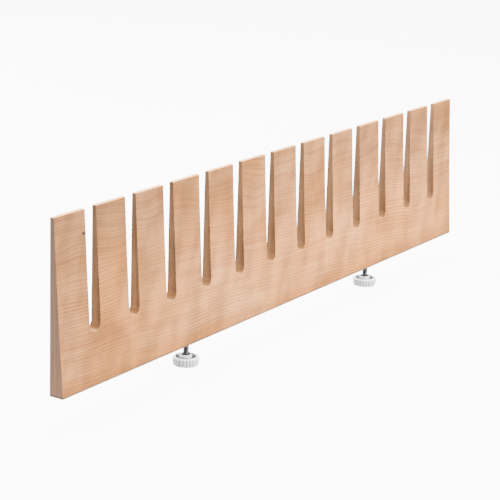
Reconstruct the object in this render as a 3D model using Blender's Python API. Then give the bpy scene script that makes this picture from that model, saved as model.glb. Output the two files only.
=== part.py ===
"""A slotted comb board that two thumb screws hold from below.

The wooden board stands on its long edge: thirteen fingers rise from an uncut strip, its back is
upright and its front leans back to a thin top. Two threaded inserts sit in its underside. A thumb
screw turns in each one, and a loose washer rides on the knob's boss.

Metres, +Z up. X runs along the board, the sloping front faces -Y, and both screw axes lie in the
plane y = 0. The origin is midway between the screws, level with the undersides of the knobs.
"""

import math

import bmesh
import bpy

MM = 0.001

# Board
FINGER_COUNT = 13
FINGER_WIDTH = 44 * MM
SLOT_WIDTH = 16 * MM
SLOT_PITCH = FINGER_WIDTH + SLOT_WIDTH
SLOT_COUNT = FINGER_COUNT - 1
BOARD_LENGTH = FINGER_COUNT * FINGER_WIDTH + SLOT_COUNT * SLOT_WIDTH
BOARD_HEIGHT = 170 * MM
SLOT_FLOOR = 52 * MM  # lowest point of a slot, above the board's underside
BASE_THICKNESS = 16 * MM
TIP_THICKNESS = 4.6 * MM
FACE_HOLLOW = 0.5 * MM  # how far the front dips behind a straight line from base to tip
BACK_OFFSET = 9 * MM  # from the screw axes to the board's back
EASED_EDGE = 0.4 * MM
FACE_STEPS = 8

# Knob, upwards from its flat underside
KNOB_RADIUS = 13.8 * MM  # over the ribs, at the rim
RIB_COUNT = 24
POINTS_PER_RIB = 4
RIB_DEPTH = 0.9 * MM
KNOB_TAPER = 0.92  # radius at the underside over the radius at the rim
RIM_HEIGHT = 8.8 * MM
RIM_INNER_RADIUS = 10.8 * MM
DISH_FLOOR = 4.5 * MM
BOSS_RADIUS = 6.0 * MM
BOSS_HEIGHT = 10.6 * MM
SOCKET_FLOOR = 2.2 * MM
EDGE_BREAK = 0.4 * MM

# Thumb screws: M6, 25 mm of stud above the boss
SCREW_SPACING = 360 * MM
STUD_RADIUS = 2.95 * MM
STUD_REACH = 25 * MM
STUD_CHAMFER = 0.7 * MM
FIT_GAP = 0.3 * MM  # between pieces that touch

# Washer on the boss
WASHER_RADIUS = 4.6 * MM
WASHER_BORE_RADIUS = 3.3 * MM
WASHER_THICKNESS = 1.0 * MM
WASHER_BREAK = 0.2 * MM

# Threaded insert and the drilled hole that holds it
OPEN_STUD = 13.7 * MM  # from the knob's rim to the board's underside
INSERT_RADIUS = 4.0 * MM
INSERT_BORE_RADIUS = 3.15 * MM
INSERT_LENGTH = 12 * MM
INSERT_BREAK = 0.3 * MM
PILOT_RADIUS = 3.4 * MM
PILOT_DEPTH = 25 * MM

ROUND_STEPS = 32
SLOT_ROUND_STEPS = 16
CUT_OVERSHOOT = 10 * MM  # how far a cutter runs past the face it cuts
SMOOTH_BELOW = math.radians(35)  # faces that meet at less than this are shaded as one
EASE_ABOVE = math.radians(40)  # the board's edges sharper than this are eased

BOARD_BOTTOM = RIM_HEIGHT + OPEN_STUD
WASHER_BOTTOM = BOSS_HEIGHT + FIT_GAP


def clear_scene():
    for obj in list(bpy.data.objects):
        bpy.data.objects.remove(obj, do_unlink=True)


def make_material(name, colour, roughness, metallic=0.0):
    material = bpy.data.materials.new(name)
    material.use_nodes = True
    shader = material.node_tree.nodes["Principled BSDF"]
    shader.inputs["Base Color"].default_value = (*colour, 1.0)
    shader.inputs["Roughness"].default_value = roughness
    shader.inputs["Metallic"].default_value = metallic
    return material


def make_mesh(name, points, faces):
    """A mesh with all its faces pointing out."""
    mesh = bpy.data.meshes.new(name)
    mesh.from_pydata(points, [], faces)
    shape = bmesh.new()
    shape.from_mesh(mesh)
    bmesh.ops.recalc_face_normals(shape, faces=shape.faces)
    shape.to_mesh(mesh)
    shape.free()
    return mesh


def add_object(name, mesh, material=None, parent=None):
    obj = bpy.data.objects.new(name, mesh)
    bpy.context.collection.objects.link(obj)
    if material:
        mesh.materials.append(material)
    obj.parent = parent
    return obj


def add_cutter(name, mesh, target):
    """Cut a mesh out of the target with a Boolean, and keep the cutter as a hidden helper."""
    cutter = add_object(name, mesh)
    cutter.hide_render = True
    cutter.display_type = "WIRE"
    cut = target.modifiers.new(name, "BOOLEAN")
    cut.operation = "DIFFERENCE"
    cut.solver = "EXACT"
    cut.object = cutter


def shade_round(mesh):
    mesh.shade_smooth()
    mesh.set_sharp_from_angle(angle=SMOOTH_BELOW)


def prism(outline, place, low, high):
    """Points and faces of an outline swept from low to high; place turns (u, v, depth) to x, y, z."""
    count = len(outline)
    points = [place(u, v, depth) for depth in (low, high) for u, v in outline]
    sides = [(i, (i + 1) % count, count + (i + 1) % count, count + i) for i in range(count)]
    caps = [tuple(range(count)), tuple(range(count, 2 * count))]
    return points, sides + caps


def turned(profile, steps=ROUND_STEPS, radius_at=None):
    """Points and faces of a (radius, height) profile turned about Z.

    A profile that starts and ends on the axis makes a solid; any other is closed into a ring.
    radius_at(radius, height, angle) can vary the radius round the turn.
    """
    radius_at = radius_at or (lambda radius, height, angle: radius)
    points, rows = [], []
    for radius, height in profile:
        if radius == 0:
            rows.append([len(points)] * steps)
            points.append((0, 0, height))
            continue
        rows.append(list(range(len(points), len(points) + steps)))
        for i in range(steps):
            angle = math.tau * i / steps
            reach = radius_at(radius, height, angle)
            points.append((reach * math.cos(angle), reach * math.sin(angle), height))
    if profile[0][0] or profile[-1][0]:
        rows.append(rows[0])
    faces = []
    for lower, upper in zip(rows, rows[1:]):
        for i in range(steps):
            j = (i + 1) % steps
            corners = dict.fromkeys((lower[i], lower[j], upper[j], upper[i]))
            faces.append(tuple(corners))
    return points, faces


def moved(shape, x, z):
    points, faces = shape
    return [(px + x, py, pz + z) for px, py, pz in points], faces


def joined(shapes):
    """Several closed shapes as one list of points and faces."""
    points, faces = [], []
    for more_points, more_faces in shapes:
        start = len(points)
        points += more_points
        faces += [tuple(start + corner for corner in face) for face in more_faces]
    return points, faces


def board_thickness(height):
    """Thickness of the board at a height above its underside."""
    share = height / BOARD_HEIGHT
    straight = BASE_THICKNESS + (TIP_THICKNESS - BASE_THICKNESS) * share
    return straight - 4 * FACE_HOLLOW * share * (1 - share)


def board_section():
    """The board's end, as (y, height above its underside)."""
    heights = [BOARD_HEIGHT * i / FACE_STEPS for i in range(FACE_STEPS + 1)]
    front = [(BACK_OFFSET - board_thickness(height), height) for height in heights]
    return front + [(BACK_OFFSET, BOARD_HEIGHT), (BACK_OFFSET, 0)]


def slot_outline(centre):
    """A slot that runs out of the board's top, as (x, height above the board's underside)."""
    radius = SLOT_WIDTH / 2
    past_top = BOARD_HEIGHT + CUT_OVERSHOOT
    angles = [math.pi * (1 + i / SLOT_ROUND_STEPS) for i in range(SLOT_ROUND_STEPS + 1)]
    floor = [
        (centre + radius * math.cos(a), SLOT_FLOOR + radius + radius * math.sin(a))
        for a in angles
    ]
    return floor + [(centre + radius, past_top), (centre - radius, past_top)]


def slot_cutters():
    before_front = BACK_OFFSET - BASE_THICKNESS - CUT_OVERSHOOT
    shapes = []
    for i in range(SLOT_COUNT):
        centre = (i - (SLOT_COUNT - 1) / 2) * SLOT_PITCH
        shapes.append(
            prism(
                slot_outline(centre),
                lambda x, height, y: (x, y, BOARD_BOTTOM + height),
                before_front,
                BACK_OFFSET + CUT_OVERSHOOT,
            )
        )
    return joined(shapes)


def insert_hole(x):
    """The stepped hole for an insert, with room above it for the stud."""
    seat_radius = INSERT_RADIUS + FIT_GAP
    profile = [
        (0, -CUT_OVERSHOOT),
        (seat_radius, -CUT_OVERSHOOT),
        (seat_radius, INSERT_LENGTH + FIT_GAP),
        (PILOT_RADIUS, INSERT_LENGTH + FIT_GAP),
        (PILOT_RADIUS, PILOT_DEPTH),
        (0, PILOT_DEPTH + PILOT_RADIUS / 2),
    ]
    return moved(turned(profile), x, BOARD_BOTTOM)


def build_board(material, screw_places):
    half = BOARD_LENGTH / 2
    shape = prism(board_section(), lambda y, z, x: (x, y, BOARD_BOTTOM + z), -half, half)
    board = add_object("comb_board", make_mesh("comb_board", *shape), material)
    add_cutter("slot_cutters", make_mesh("slot_cutters", *slot_cutters()), board)
    holes = joined([insert_hole(x) for x in screw_places.values()])
    ease = board.modifiers.new("eased_edges", "BEVEL")
    ease.width = EASED_EDGE
    ease.segments = 1
    ease.limit_method = "ANGLE"
    ease.angle_limit = EASE_ABOVE
    add_cutter("insert_hole_cutters", make_mesh("insert_hole_cutters", *holes), board)


def build_insert(side, material, x):
    """A plain-bored sleeve, flush with the board's underside."""
    profile = [
        (INSERT_BORE_RADIUS + INSERT_BREAK, 0),
        (INSERT_RADIUS - INSERT_BREAK, 0),
        (INSERT_RADIUS, INSERT_BREAK),
        (INSERT_RADIUS, INSERT_LENGTH),
        (INSERT_BORE_RADIUS, INSERT_LENGTH),
        (INSERT_BORE_RADIUS, INSERT_BREAK),
    ]
    mesh = make_mesh(f"threaded_insert_{side}", *turned(profile))
    shade_round(mesh)
    insert = add_object(mesh.name, mesh, material)
    insert.location = (x, 0, BOARD_BOTTOM)


def ribbed(radius, height, angle):
    """The knob's outer wall tapers downwards and is fluted; the rest of it stays round."""
    if radius <= RIM_INNER_RADIUS:
        return radius
    taper = KNOB_TAPER + (1 - KNOB_TAPER) * height / RIM_HEIGHT
    flute = RIB_DEPTH * (1 - math.cos(RIB_COUNT * angle)) / 2
    return radius * taper - flute


def build_knob(side, material, pivot):
    rim_edge = KNOB_RADIUS - EDGE_BREAK
    profile = [
        (0, 0),
        (rim_edge, 0),
        (KNOB_RADIUS, EDGE_BREAK),
        (KNOB_RADIUS, RIM_HEIGHT - EDGE_BREAK),
        (rim_edge, RIM_HEIGHT),
        (RIM_INNER_RADIUS, RIM_HEIGHT),
        (RIM_INNER_RADIUS - EDGE_BREAK, DISH_FLOOR),
        (BOSS_RADIUS + EDGE_BREAK, DISH_FLOOR),
        (BOSS_RADIUS, BOSS_HEIGHT - EDGE_BREAK),
        (BOSS_RADIUS - EDGE_BREAK, BOSS_HEIGHT),
        (STUD_RADIUS + FIT_GAP, BOSS_HEIGHT),
        (STUD_RADIUS + FIT_GAP, SOCKET_FLOOR),
        (0, SOCKET_FLOOR),
    ]
    shape = turned(profile, RIB_COUNT * POINTS_PER_RIB, ribbed)
    mesh = make_mesh(f"knob_{side}", *shape)
    shade_round(mesh)
    add_object(mesh.name, mesh, material, pivot)


def build_stud(side, material, pivot):
    foot = SOCKET_FLOOR + FIT_GAP
    tip = BOSS_HEIGHT + STUD_REACH
    profile = [
        (0, foot),
        (STUD_RADIUS, foot),
        (STUD_RADIUS, tip - STUD_CHAMFER),
        (STUD_RADIUS - STUD_CHAMFER, tip),
        (0, tip),
    ]
    mesh = make_mesh(f"stud_{side}", *turned(profile))
    shade_round(mesh)
    add_object(mesh.name, mesh, material, pivot)


def build_washer(side, material, pivot):
    bottom = WASHER_BOTTOM
    top = WASHER_BOTTOM + WASHER_THICKNESS
    profile = [
        (WASHER_BORE_RADIUS, bottom),
        (WASHER_RADIUS - WASHER_BREAK, bottom),
        (WASHER_RADIUS, bottom + WASHER_BREAK),
        (WASHER_RADIUS, top - WASHER_BREAK),
        (WASHER_RADIUS - WASHER_BREAK, top),
        (WASHER_BORE_RADIUS, top),
    ]
    mesh = make_mesh(f"washer_{side}", *turned(profile))
    shade_round(mesh)
    add_object(mesh.name, mesh, material, pivot)


def build_thumb_screw(side, x, plastic, steel, nylon):
    """Knob, stud and washer, under an empty on the screw's axis."""
    pivot = bpy.data.objects.new(f"screw_axis_{side}", None)
    bpy.context.collection.objects.link(pivot)
    pivot.location = (x, 0, 0)
    build_knob(side, plastic, pivot)
    build_stud(side, steel, pivot)
    build_washer(side, nylon, pivot)


def main():
    clear_scene()
    beech = make_material("beech", (0.70, 0.46, 0.31), 0.5)
    brass = make_material("brass", (0.72, 0.52, 0.24), 0.35, 1.0)
    plastic = make_material("grey_plastic", (0.72, 0.72, 0.74), 0.4)
    steel = make_material("black_steel", (0.03, 0.03, 0.035), 0.35, 1.0)
    nylon = make_material("black_nylon", (0.015, 0.015, 0.018), 0.5)
    screw_places = {"left": -SCREW_SPACING / 2, "right": SCREW_SPACING / 2}
    build_board(beech, screw_places)
    for side, x in screw_places.items():
        build_insert(side, brass, x)
        build_thumb_screw(side, x, plastic, steel, nylon)


main()
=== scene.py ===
"""Looks of the slotted comb board and its two thumb screws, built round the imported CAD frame."""

import math
from collections import namedtuple

import bmesh
import bpy
from mathutils import Matrix, Vector


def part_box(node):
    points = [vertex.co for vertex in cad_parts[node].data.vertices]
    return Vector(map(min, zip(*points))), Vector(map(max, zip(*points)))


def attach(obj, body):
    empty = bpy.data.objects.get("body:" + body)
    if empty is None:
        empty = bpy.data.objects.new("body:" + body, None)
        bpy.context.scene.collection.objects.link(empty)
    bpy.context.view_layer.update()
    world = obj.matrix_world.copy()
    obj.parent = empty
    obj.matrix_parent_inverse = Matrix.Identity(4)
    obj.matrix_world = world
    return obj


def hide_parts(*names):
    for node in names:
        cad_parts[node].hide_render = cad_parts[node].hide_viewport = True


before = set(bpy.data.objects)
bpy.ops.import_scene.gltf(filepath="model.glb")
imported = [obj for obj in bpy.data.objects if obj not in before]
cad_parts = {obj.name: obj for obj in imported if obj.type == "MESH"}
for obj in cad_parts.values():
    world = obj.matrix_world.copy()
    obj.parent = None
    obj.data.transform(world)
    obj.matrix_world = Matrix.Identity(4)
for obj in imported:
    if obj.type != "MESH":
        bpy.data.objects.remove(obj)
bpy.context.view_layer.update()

MM = 0.001

# Camera: a long lens, well to the left of the board's front and a little above it
CAMERA_PLACE = (-1.5348, -0.9582, 0.5901)
CAMERA_YAW = -56.84
CAMERA_PITCH = -15.76
CAMERA_ROLL = 1.956
CAMERA_LENS = 125.04
CAMERA_SENSOR = 36.0

# Board, as the CAD has it
SLOT_COUNT = 12
SLOT_WIDTH = 16 * MM
SLOT_PITCH = 60 * MM
SLOT_FLOOR = 52 * MM
BASE_THICKNESS = 16 * MM
TIP_THICKNESS = 4.6 * MM
FACE_HOLLOW = 0.5 * MM
EASED_EDGE = 0.35 * MM
SLOT_ROUND_STEPS = 32
FACE_LEVELS = 12
PILOT_RADIUS = 3.4 * MM
PILOT_DEPTH = 25 * MM
INSERT_GAP = 0.3 * MM
HOLE_START = 5 * MM  # how far below the board its hole cutters begin

# Knob, as the CAD has it
RIB_COUNT = 24
RIB_DEPTH = 0.9 * MM
STEPS_PER_RIB = 12
KNOB_TAPER = 0.92
FOOT_EASE = 0.5 * MM
UNDERSIDE_RING = 11.0 * MM
RIM_HEIGHT = 8.8 * MM
RIM_ROUND = 1.4 * MM
RIM_ROUND_STEPS = 6
RIM_INNER_RADIUS = 10.8 * MM
RIM_INNER_EASE = 0.3 * MM
DISH_TOP_DRAFT = 0.05 * MM
DISH_FOOT_DRAFT = 0.3 * MM
DISH_FLOOR = 4.5 * MM
DISH_FILLET = 0.4 * MM
BOSS_RADIUS = 6.0 * MM
BOSS_FLARE = 0.35 * MM
BOSS_FILLET = 0.45 * MM
BOSS_EASE = 0.5 * MM
SOCKET_GAP = 0.3 * MM
SOCKET_FLOOR = 2.2 * MM
SOCKET_CHAMFER = 0.2 * MM

# Stud, washer and insert, as the CAD has them, and the stud's thread
THREAD_PITCH = 1.0 * MM
THREAD_DEPTH = 0.28 * MM
THREAD_FLAT = 0.15
THREAD_FLANK = 0.70
THREAD_ROWS = 12
THREAD_CLEARANCE = 0.5 * MM
STUD_STEPS = 48
STUD_FOOT_CHAMFER = 0.3 * MM
STUD_TIP_CHAMFER = 0.8 * MM
WASHER_BORE_RADIUS = 3.3 * MM
WASHER_ROUND = 0.3 * MM
INSERT_BORE_RADIUS = 3.15 * MM
INSERT_ROUND = 0.25 * MM
ROUND_STEPS = 64
CORNER_STEPS = 3
CORNER_CUT = 0.3  # how far a rounded corner cuts in, as a share of its radius

# Studio cove
COVE_RADIUS = 12.0
COVE_CURVE = 3.0
COVE_HEIGHT = 9.0
COVE_STEPS = 12
COVE_GLOW = 9.0
KNOB_DROP = 10 * MM  # how far the knobs can be turned down below their rest place
FLOOR_GAP = 0.5 * MM

# Studio light: each softbox has a name, a place, a width, a height and a power
LIGHT_TARGET = (0, 0, 0.1)
SOFTBOXES = (
    ("key", (0.2, -2.1, 1.15), 1.4, 1.0, 265),
    ("top", (0.1, 0.1, 1.9), 2.0, 0.9, 240),
    ("left", (-1.9, 1.2, 0.7), 1.2, 1.0, 70),
    ("back", (0.3, 2.2, 0.8), 1.6, 1.0, 170),
)
SKY_COLOUR = (0.97, 0.98, 1.0, 1)
SKY_STRENGTH = 0.70

board_low, board_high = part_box("comb_board")


# Shapes


def measure(node):
    """Where a turned CAD part's axis is along X, its radius, and its lowest and highest Z."""
    low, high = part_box(node)
    return (low.x + high.x) / 2, (high.x - low.x) / 2, low.z, high.z


def make_object(name, points, faces, place=(0, 0, 0)):
    mesh = bpy.data.meshes.new(name)
    mesh.from_pydata(points, [], faces)
    shape = bmesh.new()
    shape.from_mesh(mesh)
    bmesh.ops.recalc_face_normals(shape, faces=shape.faces)
    shape.to_mesh(mesh)
    shape.free()
    obj = bpy.data.objects.new(name, mesh)
    obj.location = place
    bpy.context.collection.objects.link(obj)
    return obj


def shade_round(obj, sharpest=40):
    obj.data.shade_smooth()
    obj.data.set_sharp_from_angle(angle=math.radians(sharpest))


def round_edges(obj, width, segments=3, sharpest=40):
    """Ease every edge sharper than the limit, and keep the faces beside it flat to the light."""
    obj.data.shade_smooth()
    ease = obj.modifiers.new("round_edges", "BEVEL")
    ease.width = width
    ease.segments = segments
    ease.limit_method = "ANGLE"
    ease.angle_limit = math.radians(sharpest)
    ease.harden_normals = True


def apply_modifiers(obj):
    """Bake an object's modifiers into its mesh."""
    graph = bpy.context.evaluated_depsgraph_get()
    done = bpy.data.meshes.new_from_object(obj.evaluated_get(graph), depsgraph=graph)
    obj.modifiers.clear()
    obj.data = done


def finish_piece(obj, material, body, node):
    obj.data.materials.clear()
    obj.data.materials.append(material)
    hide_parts(node)
    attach(obj, body)


def turned(profile, steps=ROUND_STEPS, radius_at=None):
    """Points and faces of a (radius, height) profile turned about Z.

    The profile ends on the axis or closes into a ring.
    """
    radius_at = radius_at or (lambda radius, height, angle: radius)
    points, rows = [], []
    for radius, height in profile:
        if radius == 0:
            rows.append([len(points)] * steps)
            points.append((0, 0, height))
            continue
        rows.append(list(range(len(points), len(points) + steps)))
        for i in range(steps):
            angle = math.tau * i / steps
            reach = radius_at(radius, height, angle)
            points.append((reach * math.cos(angle), reach * math.sin(angle), height))
    if profile[0][0] or profile[-1][0]:
        rows.append(rows[0])
    faces = []
    for lower, upper in zip(rows, rows[1:]):
        for i in range(steps):
            j = (i + 1) % steps
            faces.append(tuple(dict.fromkeys((lower[i], lower[j], upper[j], upper[i]))))
    return points, faces


def turned_sheet(profile, steps=ROUND_STEPS):
    """Points and faces of an open profile turned about Z, such as a bowl."""
    points, faces = turned(profile, steps)
    return points, faces[: steps * (len(profile) - 1)]


def board_thickness(height):
    """Thickness of the board at a height above its foot. Its front is slightly hollow."""
    share = height / (board_high.z - board_low.z)
    straight = BASE_THICKNESS + (TIP_THICKNESS - BASE_THICKNESS) * share
    return straight - 4 * FACE_HOLLOW * share * (1 - share)


def comb_outline():
    """The board's front outline as (x, z).

    It runs up the right end, over the fingers and slots, and down the left end.
    """
    outline = [
        (board_low.x, board_low.z),
        (board_high.x, board_low.z),
        (board_high.x, board_high.z),
    ]
    radius = SLOT_WIDTH / 2
    floor_centre = board_low.z + SLOT_FLOOR + radius
    for i in reversed(range(SLOT_COUNT)):
        centre = (i - (SLOT_COUNT - 1) / 2) * SLOT_PITCH
        outline.append((centre + radius, board_high.z))
        for step in range(SLOT_ROUND_STEPS + 1):
            angle = -math.pi * step / SLOT_ROUND_STEPS
            outline.append(
                (centre + radius * math.cos(angle), floor_centre + radius * math.sin(angle))
            )
        outline.append((centre - radius, board_high.z))
    outline.append((board_low.x, board_high.z))
    return outline


def board_mesh():
    """The comb as a solid whose front follows the board's thickness at each height."""
    shape = bmesh.new()
    outline = [shape.verts.new((x, board_high.y, z)) for x, z in comb_outline()]
    back = shape.faces.new(outline)
    swept = bmesh.ops.extrude_face_region(shape, geom=[back])["geom"]
    for vert in swept:
        if isinstance(vert, bmesh.types.BMVert):
            vert.co.y = board_low.y
    height = board_high.z - board_low.z
    for level in range(1, FACE_LEVELS):
        place = Vector((0, 0, board_low.z + height * level / FACE_LEVELS))
        everything = shape.verts[:] + shape.edges[:] + shape.faces[:]
        bmesh.ops.bisect_plane(shape, geom=everything, plane_co=place, plane_no=(0, 0, 1))
    middle = (board_low.y + board_high.y) / 2
    for vert in shape.verts:
        if vert.co.y < middle:
            vert.co.y = board_high.y - board_thickness(vert.co.z - board_low.z)
    bmesh.ops.recalc_face_normals(shape, faces=shape.faces)
    mesh = bpy.data.meshes.new("board")
    shape.to_mesh(mesh)
    shape.free()
    return mesh


def hole_cutter(insert):
    """The stepped hole that holds one insert, with room above it for the stud."""
    axis_x, radius, bottom, top = measure(insert)
    seat = radius + INSERT_GAP
    length = top - bottom + INSERT_GAP
    profile = [
        (0, -HOLE_START),
        (seat, -HOLE_START),
        (seat, length),
        (PILOT_RADIUS, length),
        (PILOT_RADIUS, PILOT_DEPTH),
        (0, PILOT_DEPTH + PILOT_RADIUS / 2),
    ]
    return make_object(f"{insert}_hole", *turned(profile), (axis_x, 0, board_low.z))


def build_board(wood):
    board = bpy.data.objects.new("comb_board_wood", board_mesh())
    bpy.context.collection.objects.link(board)
    round_edges(board, EASED_EDGE)
    for insert in ("threaded_insert_left", "threaded_insert_right"):
        cutter = hole_cutter(insert)
        cut = board.modifiers.new(insert, "BOOLEAN")
        cut.solver = "EXACT"
        cut.object = cutter
        apply_modifiers(board)
        bpy.data.objects.remove(cutter)
    finish_piece(board, wood, "comb", "comb_board")


def wall_taper(height):
    """The knob's outer wall at a height, as a share of its width at the rim."""
    return KNOB_TAPER + (1 - KNOB_TAPER) * height / RIM_HEIGHT


def knob_radius(radius, height, angle):
    """Rounded ribs with narrow valleys round the outer wall, which tapers downwards."""
    if radius <= RIM_INNER_RADIUS:
        return radius
    valley = RIB_DEPTH * (1 - abs(math.cos(RIB_COUNT * angle / 2)))
    return radius * wall_taper(height) - valley


def knob_reach(side):
    """Radius over the ribs that the knob's tapering wall would have at the full rim height."""
    _, widest, _, _ = measure(f"knob_{side}")
    return widest / wall_taper(RIM_HEIGHT - RIM_ROUND)


def eased_corner(radius, height, ease, up):
    """Three points round a convex corner, from the flat face (up is 1 or -1) to the wall."""
    cut = CORNER_CUT * ease
    return [
        (radius - ease, height),
        (radius - cut, height + up * cut),
        (radius, height + up * ease),
    ]


def build_knob(side, plastic):
    axis_x, _, _, top = measure(f"knob_{side}")
    _, stud_radius, _, _ = measure(f"stud_{side}")
    outer = knob_reach(side)
    socket = stud_radius + SOCKET_GAP
    dish_foot = RIM_INNER_RADIUS - DISH_FOOT_DRAFT
    boss_foot = BOSS_RADIUS + BOSS_FLARE
    profile = [(0, 0), (UNDERSIDE_RING, 0), *eased_corner(outer, 0, FOOT_EASE, 1)]
    profile.append((outer, RIM_HEIGHT / 2))
    for step in range(RIM_ROUND_STEPS + 1):
        angle = math.pi / 2 * step / RIM_ROUND_STEPS
        inwards, down = RIM_ROUND * (1 - math.cos(angle)), RIM_ROUND * (1 - math.sin(angle))
        profile.append((outer - inwards, RIM_HEIGHT - down))
    profile += [
        (RIM_INNER_RADIUS + RIM_INNER_EASE, RIM_HEIGHT),
        (RIM_INNER_RADIUS - DISH_TOP_DRAFT, RIM_HEIGHT - RIM_INNER_EASE),
        (dish_foot, DISH_FLOOR + DISH_FILLET),
        (dish_foot - DISH_FILLET, DISH_FLOOR),
        (boss_foot + BOSS_FILLET, DISH_FLOOR),
        (boss_foot, DISH_FLOOR + DISH_FILLET),
        *reversed(eased_corner(BOSS_RADIUS, top, BOSS_EASE, -1)),
        (socket + SOCKET_CHAMFER, top),
        (socket, top - SOCKET_CHAMFER),
        (socket, SOCKET_FLOOR),
        (0, SOCKET_FLOOR),
    ]
    shape = turned(profile, RIB_COUNT * STEPS_PER_RIB, knob_radius)
    knob = make_object(f"knob_{side}_moulding", *shape, (axis_x, 0, 0))
    shade_round(knob, 50)
    finish_piece(knob, plastic, f"thumb_screw_{side}", f"knob_{side}")


def thread_profile(turn):
    """Depth of an ISO-like thread, from 0 on the crest to 1 in the root, at a share of a pitch."""
    away = abs(2 * (turn % 1) - 1)
    return min(max((away - THREAD_FLAT) / THREAD_FLANK, 0), 1)


def build_stud(side, steel):
    axis_x, outer, bottom, top = measure(f"stud_{side}")
    _, _, _, knob_top = measure(f"knob_{side}")
    thread_start = knob_top + THREAD_CLEARANCE
    rows = round((top - thread_start) / THREAD_PITCH * THREAD_ROWS)

    def radius_at(radius, height, angle):
        if radius < outer or height < thread_start:
            return radius
        turns = (height - thread_start) / THREAD_PITCH
        cut = THREAD_DEPTH * min(turns, 1) * thread_profile(turns - angle / math.tau)
        tip = max(STUD_TIP_CHAMFER - (top - height), 0)
        return radius - max(cut, tip)

    profile = [
        (0, bottom),
        (outer - STUD_FOOT_CHAMFER, bottom),
        (outer, bottom + STUD_FOOT_CHAMFER),
        *((outer, thread_start + (top - thread_start) * i / rows) for i in range(rows + 1)),
        (0, top),
    ]
    shape = turned(profile, STUD_STEPS, radius_at)
    stud = make_object(f"stud_{side}_thread", *shape, (axis_x, 0, 0))
    shade_round(stud, 60)
    finish_piece(stud, steel, f"thumb_screw_{side}", f"stud_{side}")


def rounded_ring(inner, outer, bottom, top, corner):
    """A ring's section with quarter-round corners."""
    centres = (
        (outer - corner, bottom + corner, -90),
        (outer - corner, top - corner, 0),
        (inner + corner, top - corner, 90),
        (inner + corner, bottom + corner, 180),
    )
    section = []
    for radius, height, start in centres:
        for step in range(CORNER_STEPS + 1):
            angle = math.radians(start + 90 * step / CORNER_STEPS)
            section.append((radius + corner * math.cos(angle), height + corner * math.sin(angle)))
    return section


def build_washer(side, nylon):
    axis_x, outer, bottom, top = measure(f"washer_{side}")
    section = rounded_ring(WASHER_BORE_RADIUS, outer, bottom, top, WASHER_ROUND)
    washer = make_object(f"washer_{side}_ring", *turned(section), (axis_x, 0, 0))
    shade_round(washer)
    finish_piece(washer, nylon, f"washer_{side}", f"washer_{side}")


def build_insert(side, brass):
    axis_x, outer, bottom, top = measure(f"threaded_insert_{side}")
    section = rounded_ring(INSERT_BORE_RADIUS, outer, bottom, top, INSERT_ROUND)
    insert = make_object(f"insert_{side}_sleeve", *turned(section), (axis_x, 0, 0))
    shade_round(insert)
    finish_piece(insert, brass, "comb", f"threaded_insert_{side}")


# Material nodes


def new_material(name):
    """A material, its node tree, its shader, and the place on the piece as the CAD has it."""
    material = bpy.data.materials.new(name)
    material.use_nodes = True
    tree = material.node_tree
    place = add_node(tree, "ShaderNodeTexCoord").outputs["Object"]
    return material, tree, tree.nodes["Principled BSDF"], place


def feed(tree, socket, value):
    """Link a socket, or set its own value."""
    if isinstance(value, bpy.types.NodeSocket):
        tree.links.new(value, socket)
    else:
        socket.default_value = value


def add_node(tree, kind, inputs=(), **settings):
    node = tree.nodes.new(kind)
    for key, value in settings.items():
        setattr(node, key, value)
    for key, value in dict(inputs).items():
        feed(tree, node.inputs[key], value)
    return node


def math_of(tree, operation, *values):
    return add_node(tree, "ShaderNodeMath", enumerate(values), operation=operation).outputs[0]


def total(tree, first, *others):
    for other in others:
        first = math_of(tree, "ADD", first, other)
    return first


def product(tree, first, *others):
    for other in others:
        first = math_of(tree, "MULTIPLY", first, other)
    return first


def times_plus(tree, value, factor, offset):
    return math_of(tree, "MULTIPLY_ADD", value, factor, offset)


def span(tree, value, low, high, to_low=0.0, to_high=1.0):
    """Map low..high to to_low..to_high, smoothly and clamped."""
    inputs = {0: value, 1: low, 2: high, 3: to_low, 4: to_high}
    node = add_node(tree, "ShaderNodeMapRange", inputs, interpolation_type="SMOOTHSTEP")
    return node.outputs[0]


def split_xyz(tree, vector):
    return add_node(tree, "ShaderNodeSeparateXYZ", {0: vector}).outputs


def join_xyz(tree, x, y, z):
    return add_node(tree, "ShaderNodeCombineXYZ", {0: x, 1: y, 2: z}).outputs[0]


def axis_distance(tree, x, y):
    return math_of(tree, "SQRT", total(tree, product(tree, x, x), product(tree, y, y)))


def noise(tree, vector, scale, detail=2.0, roughness=0.5):
    inputs = {"Vector": vector, "Scale": scale, "Detail": detail, "Roughness": roughness}
    return add_node(tree, "ShaderNodeTexNoise", inputs).outputs[0]


def mix(tree, factor, first, second, blend="MIX"):
    inputs = {0: factor, 6: first, 7: second}
    node = add_node(tree, "ShaderNodeMix", inputs, data_type="RGBA", blend_type=blend)
    return node.outputs[2]


def tint(tree, colour, red, green, blue):
    """Multiply a colour channel by channel."""
    return mix(tree, 1.0, colour, join_xyz(tree, red, green, blue), "MULTIPLY")


def darken(tree, colour, *factors):
    """Multiply a colour by every factor."""
    factor = product(tree, *factors)
    return tint(tree, colour, factor, factor, factor)


def finish_shader(tree, shader, colour, roughness, relief, depth, strength):
    inputs = {"Strength": strength, "Distance": depth, "Height": relief}
    feed(tree, shader.inputs["Base Color"], colour)
    feed(tree, shader.inputs["Roughness"], roughness)
    feed(tree, shader.inputs["Normal"], add_node(tree, "ShaderNodeBump", inputs).outputs[0])


# Wood. Noise scales are per metre. They and the levels beside them, at which a pattern starts
# and is full, were set one by one.

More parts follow.
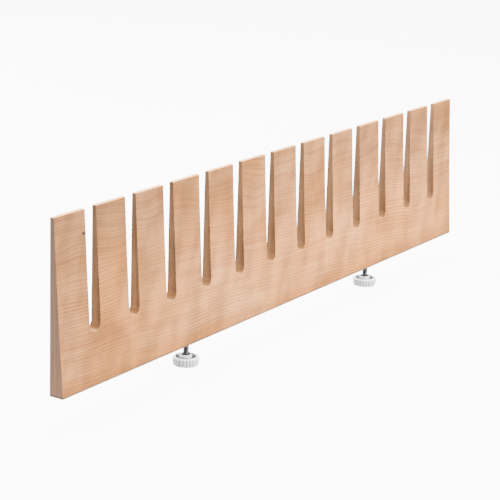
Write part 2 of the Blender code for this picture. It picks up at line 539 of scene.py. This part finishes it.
WOOD_PINK = (0.54, 0.245, 0.090, 1)
WOOD_YELLOW = (0.53, 0.208, 0.050, 1)
WOOD_DARK = (0.26, 0.088, 0.021, 1)
END_GRAIN = (0.28, 0.170, 0.108, 1)
END_DARK = (0.175, 0.100, 0.060, 1)
# Painted shade at the top of the end faces, channel by channel
END_TOP_PAINTED_SHADE = (0.70, 0.76, 0.88)
# Slot walls: cut grain, darkened further by painted shade for the insides of the slots
SLOT_WALL = (0.225, 0.115, 0.057, 1)
SLOT_DARK = (0.130, 0.062, 0.027, 1)
# Painted shade on the slot floors' sides, and painted light on their upward-facing bottoms
FLOOR_PAINTED_SHADE = (0.105, 0.043, 0.010, 1)
FLOOR_PAINTED_LIGHT = (0.30, 0.130, 0.036, 1)
# Painted highlight on the fingers' top faces
TOP_PAINTED_HIGHLIGHT = (0.69, 0.315, 0.102, 1)
# Painted shade along the board's lower arris
ARRIS_PAINTED_SHADE = (0.115, 0.066, 0.040, 1)
FLECK = (0.15, 0.055, 0.015, 1)
PIN_KNOT = (0.025, 0.013, 0.009, 1)
PIN_PLACE = (-0.3411, 0.1701)  # x and z on the first finger's front
PIN_DRAWN_OUT = 0.6  # below 1, so that the knot is wider than it is high
PIN_CORE = 0.8 * MM
PIN_EDGE = 2.4 * MM

GRAIN_DIP = 0.042
GRAIN_BOW = -0.035
GRAIN_LEAN = 0.55
WANDER = 30 * MM
RIPPLE = 2 * MM
ARCHES = 36 * MM
LINE_SPACING = 3.5 * MM
LINE_DRIFT = 9.0
LINE_SHARPNESS = 2.5
LINE_STRENGTH = 0.72
LINE_STRENGTH_ON_FINGERS = 0.55
FINGER_FADE = (100 * MM, 170 * MM)  # heights between which the fingers' grain takes over
# Painted light across the slot walls: its mean, how fast it tilts, and the height it tilts about
WALL_BRIGHTNESS = 0.91
WALL_TILT = 10.0
WALL_TILT_HEIGHT = 130 * MM
CUT_STRENGTH = 0.9
CUT_ROUGHNESS = 0.28

# A layer of grain: the factors below 1 that draw it out along the board and through it, its
# noise, the levels at which it starts and is full, how much it shows, and its colour
Layer = namedtuple("Layer", "along through scale detail roughness start full strength colour")
RINGS = Layer(0.015, 0.3, 620.0, 2.0, 0.6, 0.42, 0.70, 0.50, WOOD_DARK)
BANDS = Layer(0.08, 0.3, 60.0, 1.0, 0.5, 0.40, 0.70, 0.30, WOOD_DARK)
FIBRE = Layer(0.02, 0.3, 1900.0, 2.0, 0.6, 0.35, 0.75, 0.34, WOOD_DARK)
FLECKS = Layer(0.13, 0.3, 1900.0, 1.0, 0.5, 0.66, 0.74, 0.45, FLECK)


def grain_height(tree, x, y, z, place):
    """A height that is constant along each growth line of the wood.

    The lines dip a little to the right, less so towards the right end, and they wander. On the
    fingers they also arch.
    """
    dip = times_plus(tree, x, GRAIN_DIP, z)
    bow = product(tree, x, x, GRAIN_BOW)
    lean = times_plus(tree, y, GRAIN_LEAN, total(tree, dip, bow))
    wander = product(tree, noise(tree, place, 5.5, 1.0), WANDER)
    ripple = product(tree, noise(tree, place, 30.0, 1.0), RIPPLE)
    arches = times_plus(tree, noise(tree, place, 13.0, 1.0), ARCHES, -ARCHES / 2)
    arches = product(tree, arches, span(tree, z, *FINGER_FADE))
    return total(tree, lean, wander, ripple, arches)


def growth_lines(tree, height, z, place):
    """Narrow dark lines, stronger in some places than in others and fainter on the fingers."""
    drift = product(tree, noise(tree, place, 13.0), LINE_DRIFT)
    turn = times_plus(tree, height, math.tau / LINE_SPACING, drift)
    wave = times_plus(tree, math_of(tree, "SINE", turn), 0.5, 0.5)
    narrow = math_of(tree, "POWER", wave, LINE_SHARPNESS)
    strength = span(tree, noise(tree, place, 17.0, 1.0), 0.32, 0.64, 0.15, 1.0)
    upwards = span(tree, z, *FINGER_FADE, 1.0, LINE_STRENGTH_ON_FINGERS)
    return product(tree, narrow, strength, upwards)


def grain_layer(tree, layer, x, y, height):
    """Noise that follows the growth lines."""
    along, through = product(tree, x, layer.along), product(tree, y, layer.through)
    vector = join_xyz(tree, along, through, height)
    return noise(tree, vector, layer.scale, layer.detail, layer.roughness)


def front_colour(tree, x, z, place, lines, layers):
    """Pinkish wood with its dark grain over it.

    It is yellower in patches and along the foot, and pinker at the right end.
    """
    patches = noise(tree, place, 9.0, 3.0)
    low_edge = span(tree, z, board_low.z + 4 * MM, board_low.z + 22 * MM, 0.14, 0.0)
    right_end = span(tree, x, board_high.x - 120 * MM, board_high.x - 20 * MM, 0.0, -0.13)
    yellow = span(tree, total(tree, patches, low_edge, right_end), 0.36, 0.66)
    colour = mix(tree, yellow, WOOD_PINK, WOOD_YELLOW)
    colour = mix(tree, product(tree, lines, LINE_STRENGTH), colour, WOOD_DARK)
    for layer, pattern in layers.items():
        amount = span(tree, pattern, layer.start, layer.full, 0.0, layer.strength)
        colour = mix(tree, amount, colour, layer.colour)
    return colour


def front_figure_and_painted_shade(tree, colour, x, y, z):
    """Ripple figure, and painted shade: the front darkens to its tips, its foot and both ends."""
    skew = times_plus(tree, x, -0.45, product(tree, z, 0.6))
    flame = noise(tree, join_xyz(tree, x, y, skew), 34.0)
    return darken(
        tree,
        colour,
        span(tree, flame, 0.32, 0.68, 0.80, 1.20),
        # painted shade: darker towards the tips, the left end, the right end and the foot
        span(tree, z, 70 * MM, 185 * MM, 1.02, 0.62),
        span(tree, x, board_low.x - 50 * MM, 0.0, 0.76, 1.0),
        span(tree, x, board_high.x - 140 * MM, board_high.x, 1.0, 0.88),
        span(tree, z, board_low.z + 2 * MM, board_low.z + 26 * MM, 0.82, 1.0),
    )


def cut_mask(tree, across, through, z):
    """How far a face is cut across the grain: the board's ends and the insides of its slots."""
    end_face = span(tree, math_of(tree, "ABSOLUTE", across), 0.55, 0.9)
    off_front = span(tree, math_of(tree, "ABSOLUTE", through), 0.35, 0.75, 1.0, 0.0)
    above_foot = span(tree, z, board_low.z + 20 * MM, board_low.z + 40 * MM)
    below_tips = span(tree, z, board_high.z - 4 * MM, board_high.z - 1 * MM, 1.0, 0.0)
    return math_of(tree, "MAXIMUM", end_face, product(tree, off_front, above_foot, below_tips))


def cut_marks(tree, x, y, z):
    """Streaks and pores of the cut wood, both drawn out upwards."""
    streaks = noise(tree, join_xyz(tree, x, y, product(tree, z, 0.05)), 420.0)
    pores = noise(tree, join_xyz(tree, x, y, product(tree, z, 0.35)), 2600.0)
    streaks = span(tree, streaks, 0.35, 0.68, 0.0, 0.6)
    pores = span(tree, pores, 0.45, 0.75, 0.0, 0.5)
    return math_of(tree, "MAXIMUM", streaks, pores)


def end_colour(tree, marks, z):
    """Greyish sanded end grain, with painted shade that makes it darker and cooler upwards."""
    colour = mix(tree, marks, END_GRAIN, END_DARK)
    levels = (board_low.z, board_high.z - 30 * MM)
    channels = [span(tree, z, *levels, 1.08, top) for top in END_TOP_PAINTED_SHADE]
    return tint(tree, colour, *channels)


def slot_colour(tree, marks, upwards, x, y, z):
    """Brown slot walls, and round floors that are dark at their sides and paler at the bottom, as
    painted shade and painted light.

    The walls get paler towards the back. Their upper parts also get paler to the right, and
    their lower parts to the left. These are painted light and shade over the cut grain's colour.
    """
    colour = mix(tree, marks, SLOT_WALL, SLOT_DARK)
    worn = noise(tree, join_xyz(tree, product(tree, x, 0.5), y, z), 26.0)
    tilt = product(tree, times_plus(tree, z, WALL_TILT, -WALL_TILT * WALL_TILT_HEIGHT), x)
    # painted shade that is darker towards each slot's front, and a tilted painted light gradient
    colour = darken(
        tree,
        colour,
        span(tree, y, -4 * MM, board_high.y, 0.80, 1.15),
        span(tree, worn, 0.3, 0.7, 0.82, 1.18),
        total(tree, tilt, WALL_BRIGHTNESS),
    )
    # painted shade on the floors' sides, then painted light where they face straight up
    colour = mix(tree, span(tree, upwards, 0.12, 0.62), colour, FLOOR_PAINTED_SHADE)
    return mix(tree, span(tree, upwards, 0.84, 1.00), colour, FLOOR_PAINTED_LIGHT)


def pin_knot(tree, x, z):
    """How far a place lies in the small dark knot on the first finger."""
    offset_x = product(tree, math_of(tree, "SUBTRACT", x, PIN_PLACE[0]), PIN_DRAWN_OUT)
    offset_z = math_of(tree, "SUBTRACT", z, PIN_PLACE[1])
    offset = join_xyz(tree, offset_x, 0.0, offset_z)
    distance = add_node(tree, "ShaderNodeVectorMath", {0: offset}, operation="LENGTH").outputs[1]
    return span(tree, distance, PIN_CORE, PIN_EDGE, 0.95, 0.0)


def make_wood():
    material, tree, shader, place = new_material("beech_oiled")
    x, y, z = split_xyz(tree, place)
    normal = add_node(tree, "ShaderNodeTexCoord").outputs["Normal"]
    across, through, upwards = split_xyz(tree, normal)

    height = grain_height(tree, x, y, z, place)
    lines = growth_lines(tree, height, z, place)
    layers = {
        layer: grain_layer(tree, layer, x, y, height) for layer in (RINGS, BANDS, FIBRE, FLECKS)
    }
    colour = front_colour(tree, x, z, place, lines, layers)
    colour = front_figure_and_painted_shade(tree, colour, x, y, z)

    marks = cut_marks(tree, x, y, z)
    at_end = span(
        tree, math_of(tree, "ABSOLUTE", x), board_high.x - 6 * MM, board_high.x - 3 * MM
    )
    in_slots = slot_colour(tree, marks, upwards, x, y, z)
    cut_colour = mix(tree, at_end, in_slots, end_colour(tree, marks, z))
    cut = cut_mask(tree, across, through, z)
    colour = mix(tree, product(tree, cut, CUT_STRENGTH), colour, cut_colour)

    # painted highlight on the top faces
    top_highlight = span(tree, z, board_high.z - 0.5 * MM, board_high.z - 0.1 * MM, 0.0, 0.85)
    colour = mix(tree, top_highlight, colour, TOP_PAINTED_HIGHLIGHT)
    # painted shade along the lower arris
    lower_arris_shade = span(tree, z, board_low.z + 1.2 * MM, board_low.z + 2.6 * MM, 0.85, 0.0)
    colour = mix(tree, lower_arris_shade, colour, ARRIS_PAINTED_SHADE)
    colour = mix(tree, pin_knot(tree, x, z), colour, PIN_KNOT)

    sanded = span(tree, layers[FIBRE], 0.3, 0.7, 0.50, 0.62)
    roughness = times_plus(tree, cut, CUT_ROUGHNESS, sanded)
    relief = times_plus(tree, layers[FLECKS], -0.5, layers[FIBRE])
    finish_shader(tree, shader, colour, roughness, relief, 0.06 * MM, 0.6)
    shader.inputs["Specular IOR Level"].default_value = 0.20
    return material


# Knobs, hardware and studio. Each pair of colours is mixed by a cloudy noise.

PLASTIC = (0.82, 0.825, 0.84, 1), (0.74, 0.745, 0.765, 1)
# Painted shade for the knob's dish, boss and rib valleys
PAINTED_SHADE_GREY = (0.13, 0.132, 0.145, 1)
BLACKENED_STEEL = (0.022, 0.023, 0.026, 1), (0.055, 0.053, 0.052, 1)
BLACK_NYLON = (0.010, 0.010, 0.012, 1), (0.022, 0.022, 0.025, 1)
BRASS = (0.78, 0.57, 0.27, 1), (0.58, 0.38, 0.16, 1)
COVE_GREY = (0.30, 0.30, 0.30, 1), (0.33, 0.33, 0.33, 1)


def knob_painted_shade(tree, x, y, z):
    """How much painted shade greys the knob: most in its dish, less in the valleys of its ribs."""
    radius = axis_distance(tree, x, y)
    inner_edge = (RIM_INNER_RADIUS - 0.2 * MM, RIM_INNER_RADIUS + 0.1 * MM)
    inside = span(tree, radius, *inner_edge, 1.0, 0.0)
    # painted shade, strong below the rim and fainter on the boss above it
    deep = span(tree, z, RIM_HEIGHT - 0.4 * MM, RIM_HEIGHT + 0.5 * MM, 0.9, 0.25)
    reach = knob_reach("left")
    wall = times_plus(tree, z, reach * (1 - KNOB_TAPER) / RIM_HEIGHT, reach * KNOB_TAPER)
    below_ribs = math_of(tree, "SUBTRACT", wall, radius)
    valley = span(tree, below_ribs, 0.15 * MM, 0.8 * RIB_DEPTH, 0.11, 0.42)
    below_rim = span(tree, z, RIM_HEIGHT - RIM_ROUND, RIM_HEIGHT - RIM_ROUND / 2, 1.0, 0.0)
    in_dish, on_wall = product(tree, inside, deep), product(tree, valley, below_rim)
    return math_of(tree, "MAXIMUM", in_dish, on_wall)


def make_plastic():
    material, tree, shader, place = new_material("knob_white_plastic")
    clouds = noise(tree, place, 160.0, 3.0)
    grit = noise(tree, place, 2600.0)
    colour = mix(tree, span(tree, clouds, 0.35, 0.65), *PLASTIC)
    # painted shade in the dish and between the ribs
    colour = mix(tree, knob_painted_shade(tree, *split_xyz(tree, place)), colour, PAINTED_SHADE_GREY)
    roughness = span(tree, grit, 0.3, 0.7, 0.32, 0.44)
    finish_shader(tree, shader, colour, roughness, grit, 0.04 * MM, 0.5)
    shader.inputs["Subsurface Weight"].default_value = 0.15
    shader.inputs["Subsurface Radius"].default_value = (2 * MM, 2 * MM, 2 * MM)
    return material


def make_steel():
    material, tree, shader, place = new_material("blackened_steel")
    blotches = noise(tree, place, 700.0, 3.0)
    grit = noise(tree, place, 5200.0)
    colour = mix(tree, span(tree, blotches, 0.35, 0.70), *BLACKENED_STEEL)
    roughness = span(tree, blotches, 0.3, 0.7, 0.28, 0.46)
    finish_shader(tree, shader, colour, roughness, grit, 0.03 * MM, 0.4)
    shader.inputs["Metallic"].default_value = 0.6
    return material


def make_nylon():
    material, tree, shader, place = new_material("black_nylon")
    haze = noise(tree, place, 900.0, 3.0)
    grit = noise(tree, place, 4200.0)
    colour = mix(tree, span(tree, haze, 0.35, 0.7), *BLACK_NYLON)
    roughness = span(tree, haze, 0.3, 0.7, 0.38, 0.55)
    finish_shader(tree, shader, colour, roughness, grit, 0.03 * MM, 0.5)
    return material


def make_brass():
    material, tree, shader, place = new_material("turned_brass")
    x, y, z = split_xyz(tree, place)
    lathe_marks = noise(tree, join_xyz(tree, axis_distance(tree, x, y), 0.0, z), 6000.0)
    tarnish = noise(tree, place, 420.0, 3.0)
    colour = mix(tree, span(tree, tarnish, 0.35, 0.65), *BRASS)
    roughness = span(tree, lathe_marks, 0.3, 0.7, 0.22, 0.40)
    finish_shader(tree, shader, colour, roughness, lathe_marks, 0.03 * MM, 0.5)
    shader.inputs["Metallic"].default_value = 1.0
    return material


def make_cove_paint():
    """Plain pale paint with a glow of its own, so that the ground is equally bright all over."""
    material, tree, shader, place = new_material("cove_paint")
    colour = mix(tree, noise(tree, place, 1.2), *COVE_GREY)
    feed(tree, shader.inputs["Base Color"], colour)
    shader.inputs["Roughness"].default_value = 0.9
    shader.inputs["Emission Color"].default_value = (1, 1, 1, 1)
    shader.inputs["Emission Strength"].default_value = COVE_GLOW
    return material


# Studio


def add_camera():
    data = bpy.data.cameras.new("camera")
    data.lens = CAMERA_LENS
    data.sensor_width = CAMERA_SENSOR
    camera = bpy.data.objects.new("camera", data)
    turn = Matrix.Rotation(math.radians(CAMERA_YAW), 4, "Z")
    tip = Matrix.Rotation(math.radians(90 + CAMERA_PITCH), 4, "X")
    roll = Matrix.Rotation(math.radians(CAMERA_ROLL), 4, "Z")
    camera.matrix_world = Matrix.Translation(CAMERA_PLACE) @ turn @ tip @ roll
    bpy.context.collection.objects.link(camera)
    bpy.context.scene.camera = camera


def add_softbox(name, place, width, height, power):
    data = bpy.data.lights.new(name, "AREA")
    data.shape = "RECTANGLE"
    data.size = width
    data.size_y = height
    data.energy = power
    light = bpy.data.objects.new(name, data)
    light.location = place
    aim = Vector(LIGHT_TARGET) - Vector(place)
    light.rotation_euler = aim.to_track_quat("-Z", "Y").to_euler()
    light.visible_camera = False
    bpy.context.collection.objects.link(light)


def add_world():
    world = bpy.data.worlds.new("studio")
    world.use_nodes = True
    background = world.node_tree.nodes["Background"]
    background.inputs["Color"].default_value = SKY_COLOUR
    background.inputs["Strength"].default_value = SKY_STRENGTH
    bpy.context.scene.world = world


def add_cove():
    """A pale floor that curves up into a wall all round, so that every view has a plain ground.

    It lies just below the lowest place of the knobs. Only the camera sees it: the world and the
    softboxes light the object.
    """
    profile = [(0, 0), (COVE_RADIUS - COVE_CURVE, 0)]
    for step in range(1, COVE_STEPS + 1):
        angle = math.pi / 2 * step / COVE_STEPS
        reach = COVE_RADIUS - COVE_CURVE * (1 - math.sin(angle))
        profile.append((reach, COVE_CURVE * (1 - math.cos(angle))))
    profile.append((COVE_RADIUS, COVE_HEIGHT))
    cove = make_object("cove", *turned_sheet(profile), (0, 0, -KNOB_DROP - FLOOR_GAP))
    cove.data.shade_smooth()
    cove.visible_diffuse = False
    cove.visible_glossy = False
    cove.visible_shadow = False
    cove.data.materials.append(make_cove_paint())


def main():
    add_camera()
    add_world()
    add_cove()
    for softbox in SOFTBOXES:
        add_softbox(*softbox)
    build_board(make_wood())
    plastic, steel, nylon, brass = make_plastic(), make_steel(), make_nylon(), make_brass()
    for side in ("left", "right"):
        build_knob(side, plastic)
        build_stud(side, steel)
        build_washer(side, nylon)
        build_insert(side, brass)


main()
